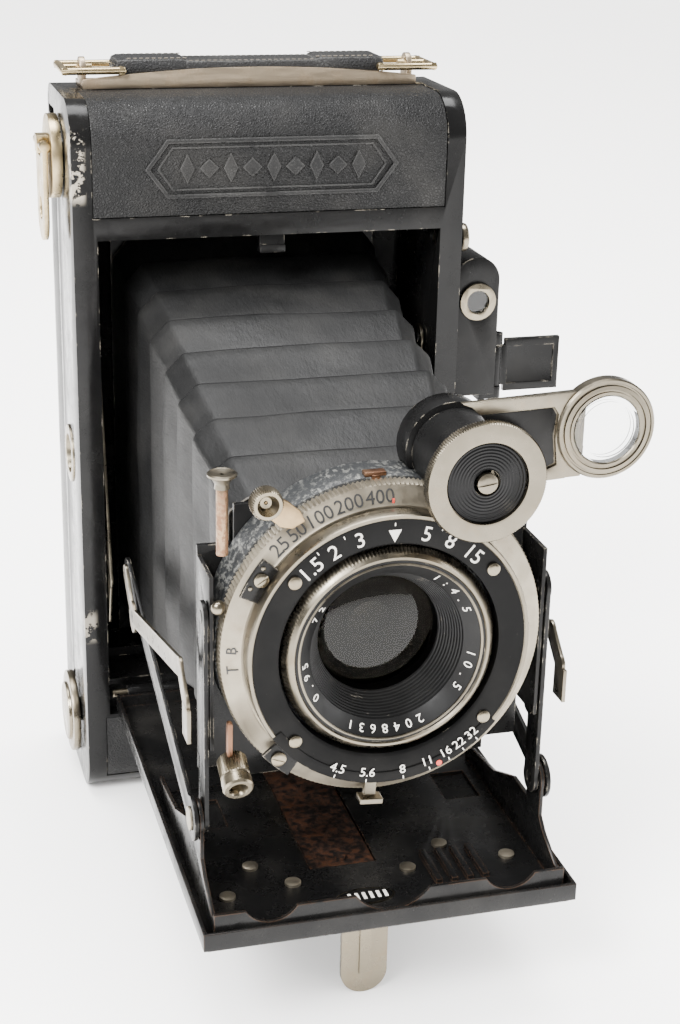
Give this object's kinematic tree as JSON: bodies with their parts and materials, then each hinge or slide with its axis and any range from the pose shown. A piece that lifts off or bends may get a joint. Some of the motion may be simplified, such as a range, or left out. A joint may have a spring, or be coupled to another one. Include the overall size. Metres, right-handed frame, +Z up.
{
  "type": "folding roll-film camera",
  "caption": "Self-erecting folding camera on its end: the lens panel rides out on a drop bed with a bellows, side stays, rim-set shutter, swing-out rangefinder wedge, and a fold-down foot",
  "frame": {"origin": "middle of the flat lower end of the body, which the camera stands on", "axes": "+X to the right seen from the front, -Y the way the lens looks, +Z up"},
  "size_m": [0.1312, 0.1462, 0.1787],
  "materials": {
    "enamel": "glossy black stoving enamel with worn edges",
    "hide": "pebbled black leather",
    "nickel": "aged nickel plate, slightly dull",
    "case": "dark crackle finish with worn patches",
    "cloth": "black leathercloth of the bellows",
    "glass": "coated optical glass",
    "ruby": "deep red celluloid",
    "spool": "red enamelled spool",
    "steel": "bright steel",
    "rust": "brown enamel gone rusty",
    "black_metal": "semi-gloss black enamel"
  },
  "bodies": {
    "root": {"body_shell": "enamel", "body_leather": "hide", "top_plate": "nickel", "film_gate": "black_metal", "hinge_pins": "nickel", "side_tripod_bush": "nickel", "rangefinder_housing": "black_metal", "rangefinder_bezels": "nickel", "rangefinder_prism": "glass", "bellows": "cloth"},
    "back_catch_body": {"back_catch": "nickel"},
    "handle": {"strap": "hide", "strap_loops": "nickel"},
    "roller_upper": {"film_roller_upper": "steel"},
    "roller_lower": {"film_roller_lower": "steel"},
    "back": {"back_door": "enamel", "back_leather": "hide", "pressure_plate": "steel", "red_window": "ruby"},
    "cover": {"window_cover": "nickel"},
    "take_up": {"take_up_spool": "spool"},
    "key": {"winding_key": "nickel"},
    "wing": {"key_wing": "nickel"},
    "feed": {"feed_spool": "spool"},
    "knob": {"feed_knob": "nickel"},
    "finder": {"finder_front": "black_metal"},
    "peep": {"finder_peep": "black_metal"},
    "button": {"release_button": "nickel"},
    "catch": {"bed_catch": "nickel"},
    "bed": {"bed_pan": "enamel", "bed_leather": "hide", "bed_tripod_bush": "nickel", "carrier": "black_metal", "carrier_rivets": "nickel", "centre_strip": "rust"},
    "foot_body": {"foot": "nickel"},
    "links": {"link_left": "black_metal", "link_right": "black_metal"},
    "stays": {"stay_left": "black_metal", "stay_right": "black_metal"},
    "levers": {"lock_lever_left": "nickel", "lock_lever_right": "nickel"},
    "struts": {"strut_left": "nickel", "strut_right": "nickel"},
    "front": {"standard": "black_metal", "shutter_case": "case", "face_plate": "black_metal", "cable_socket": "nickel", "shutter_blades": "steel", "lens_barrel": "black_metal", "rear_glass": "glass"},
    "speeds": {"speed_ring": "nickel"},
    "cocking": {"cocking_lever": "nickel"},
    "plunger": {"release_plunger": "nickel"},
    "aperture": {"aperture_lever": "nickel"},
    "cell": {"front_cell": "black_metal", "front_glass": "glass"},
    "arm": {"wedge_arm": "nickel"},
    "wedge": {"wedge_glass": "glass"},
    "wheel": {"focus_wheel": "nickel"}
  },
  "joints": [
    {"name": "bed_fold", "type": "hinge", "parent": "root", "child": "bed", "pos_m": [0, -0.018, 0.028], "axis": [-1, 0, 0], "range_deg": [0, 90], "deforming": ["bellows"]},
    {"name": "link_fold", "type": "hinge", "parent": "bed", "child": "links", "pos_m": [0, -0.1075, 0.044], "axis": [-1, 0, 0], "range_deg": [0, 90]},
    {"name": "front_level", "type": "hinge", "parent": "links", "child": "front", "pos_m": [0, -0.1075, 0.088], "axis": [-1, 0, 0], "range_deg": [-180, 0]},
    {"name": "stay_fold", "type": "hinge", "parent": "bed", "child": "stays", "pos_m": [0, -0.1075, 0.044], "axis": [-1, 0, 0], "range_deg": [0, 17]},
    {"name": "lever_fold", "type": "hinge", "parent": "stays", "child": "levers", "pos_m": [0, -0.04821, 0.06213], "axis": [-1, 0, 0], "range_deg": [-27, 0]},
    {"name": "strut_swing", "type": "hinge", "parent": "root", "child": "struts", "pos_m": [0, -0.008, 0.112], "axis": [-1, 0, 0], "range_deg": [-22.5, 0]},
    {"name": "arm_swing", "type": "hinge", "parent": "front", "child": "arm", "pos_m": [0.0156, -0.1196, 0.117], "axis": [0, 1, 0], "range_deg": [0, 225]},
    {"name": "wheel_turn", "type": "hinge", "parent": "front", "child": "wheel", "pos_m": [0.0156, -0.122, 0.117], "axis": [0, -1, 0], "range_deg": [0, 300]},
    {"name": "cell_turn", "type": "hinge", "parent": "front", "child": "cell", "pos_m": [0, -0.112, 0.0812], "axis": [0, -1, 0], "range_deg": [-165, 0]},
    {"name": "wedge_turn", "type": "hinge", "parent": "arm", "child": "wedge", "pos_m": [0.03986, -0.1196, 0.12516], "axis": [0, -1, 0], "range_deg": [0, 45]},
    {"name": "speed_turn", "type": "hinge", "parent": "front", "child": "speeds", "pos_m": [0, -0.11, 0.0812], "axis": [0, -1, 0], "range_deg": [-60, 30]},
    {"name": "aperture_slide", "type": "hinge", "parent": "front", "child": "aperture", "pos_m": [0, -0.115, 0.0812], "axis": [0, -1, 0], "range_deg": [-50, 20]},
    {"name": "cocking_travel", "type": "hinge", "parent": "front", "child": "cocking", "pos_m": [0, -0.115, 0.0812], "axis": [0, -1, 0], "range_deg": [0, 14]},
    {"name": "plunger_travel", "type": "slide", "parent": "front", "child": "plunger", "axis": [0, 0, -1], "range_m": [0, 0.003], "stiffness_N_per_m": 40, "springref_m": -0.002},
    {"name": "foot_fold", "type": "hinge", "parent": "bed", "child": "foot_body", "pos_m": [-0.002, -0.112, 0.0234], "axis": [-1, 0, 0], "range_deg": [-90, 0]},
    {"name": "back_opening", "type": "hinge", "parent": "root", "child": "back", "pos_m": [0, 0.0183, 0.004], "axis": [-1, 0, 0], "range_deg": [0, 90]},
    {"name": "cover_slide", "type": "slide", "parent": "back", "child": "cover", "axis": [0, 0, 1], "range_m": [0, 0.012]},
    {"name": "catch_slide", "type": "slide", "parent": "root", "child": "back_catch_body", "axis": [1, 0, 0], "range_m": [0, 0.004]},
    {"name": "handle_rock", "type": "hinge", "parent": "root", "child": "handle", "pos_m": [0, 0.008, 0.1762], "axis": [1, 0, 0], "range_deg": [-12, 0]},
    {"name": "upper_roller_spin", "type": "hinge", "parent": "root", "child": "roller_upper", "pos_m": [0, 0.011, 0.1419], "axis": [1, 0, 0], "continuous": true},
    {"name": "lower_roller_spin", "type": "hinge", "parent": "root", "child": "roller_lower", "pos_m": [0, 0.011, 0.0298], "axis": [1, 0, 0], "continuous": true},
    {"name": "key_turn", "type": "hinge", "parent": "root", "child": "key", "pos_m": [-0.047, 0.0015, 0.1573], "axis": [1, 0, 0], "continuous": true},
    {"name": "take_up_turn", "type": "hinge", "parent": "root", "child": "take_up", "pos_m": [0, 0.0015, 0.1573], "axis": [1, 0, 0], "continuous": true},
    {"name": "wing_fold", "type": "hinge", "parent": "key", "child": "wing", "pos_m": [-0.0499, 0.0015, 0.1603], "axis": [0, 1, 0], "range_deg": [0, 90]},
    {"name": "feed_turn", "type": "hinge", "parent": "root", "child": "feed", "pos_m": [0, 0.0015, 0.0147], "axis": [1, 0, 0], "continuous": true},
    {"name": "knob_pull", "type": "slide", "parent": "root", "child": "knob", "axis": [-1, 0, 0], "range_m": [0, 0.005]},
    {"name": "finder_fold", "type": "hinge", "parent": "root", "child": "finder", "pos_m": [0.063, -0.001, 0.1015], "axis": [0, 0, 1], "range_deg": [0, 88]},
    {"name": "peep_fold", "type": "hinge", "parent": "root", "child": "peep", "pos_m": [0.0606, 0.0172, 0.1015], "axis": [0, 0, 1], "range_deg": [-88, 0]},
    {"name": "button_press", "type": "slide", "parent": "root", "child": "button", "axis": [-1, 0, 0], "range_m": [0, 0.0008], "stiffness_N_per_m": 300, "springref_m": -0.001},
    {"name": "catch_travel", "type": "slide", "parent": "root", "child": "catch", "axis": [1, 0, 0], "range_m": [0, 0.0016]}
  ],
  "couplings": [
    {"joint": "link_fold", "follows": "bed_fold", "ratio": 1},
    {"joint": "front_level", "follows": "bed_fold", "ratio": -2},
    {"joint": "stay_fold", "follows": "bed_fold", "ratio": 0.18889},
    {"joint": "lever_fold", "follows": "bed_fold", "ratio": -0.3},
    {"joint": "strut_swing", "follows": "bed_fold", "ratio": -0.25},
    {"joint": "arm_swing", "follows": "bed_fold", "ratio": 2.5},
    {"joint": "cell_turn", "follows": "wheel_turn", "ratio": -0.55},
    {"joint": "wedge_turn", "follows": "wheel_turn", "ratio": 0.15},
    {"joint": "take_up_turn", "follows": "key_turn", "ratio": 1},
    {"joint": "peep_fold", "follows": "finder_fold", "ratio": -1},
    {"joint": "catch_travel", "follows": "button_press", "ratio": 2}
  ]
}
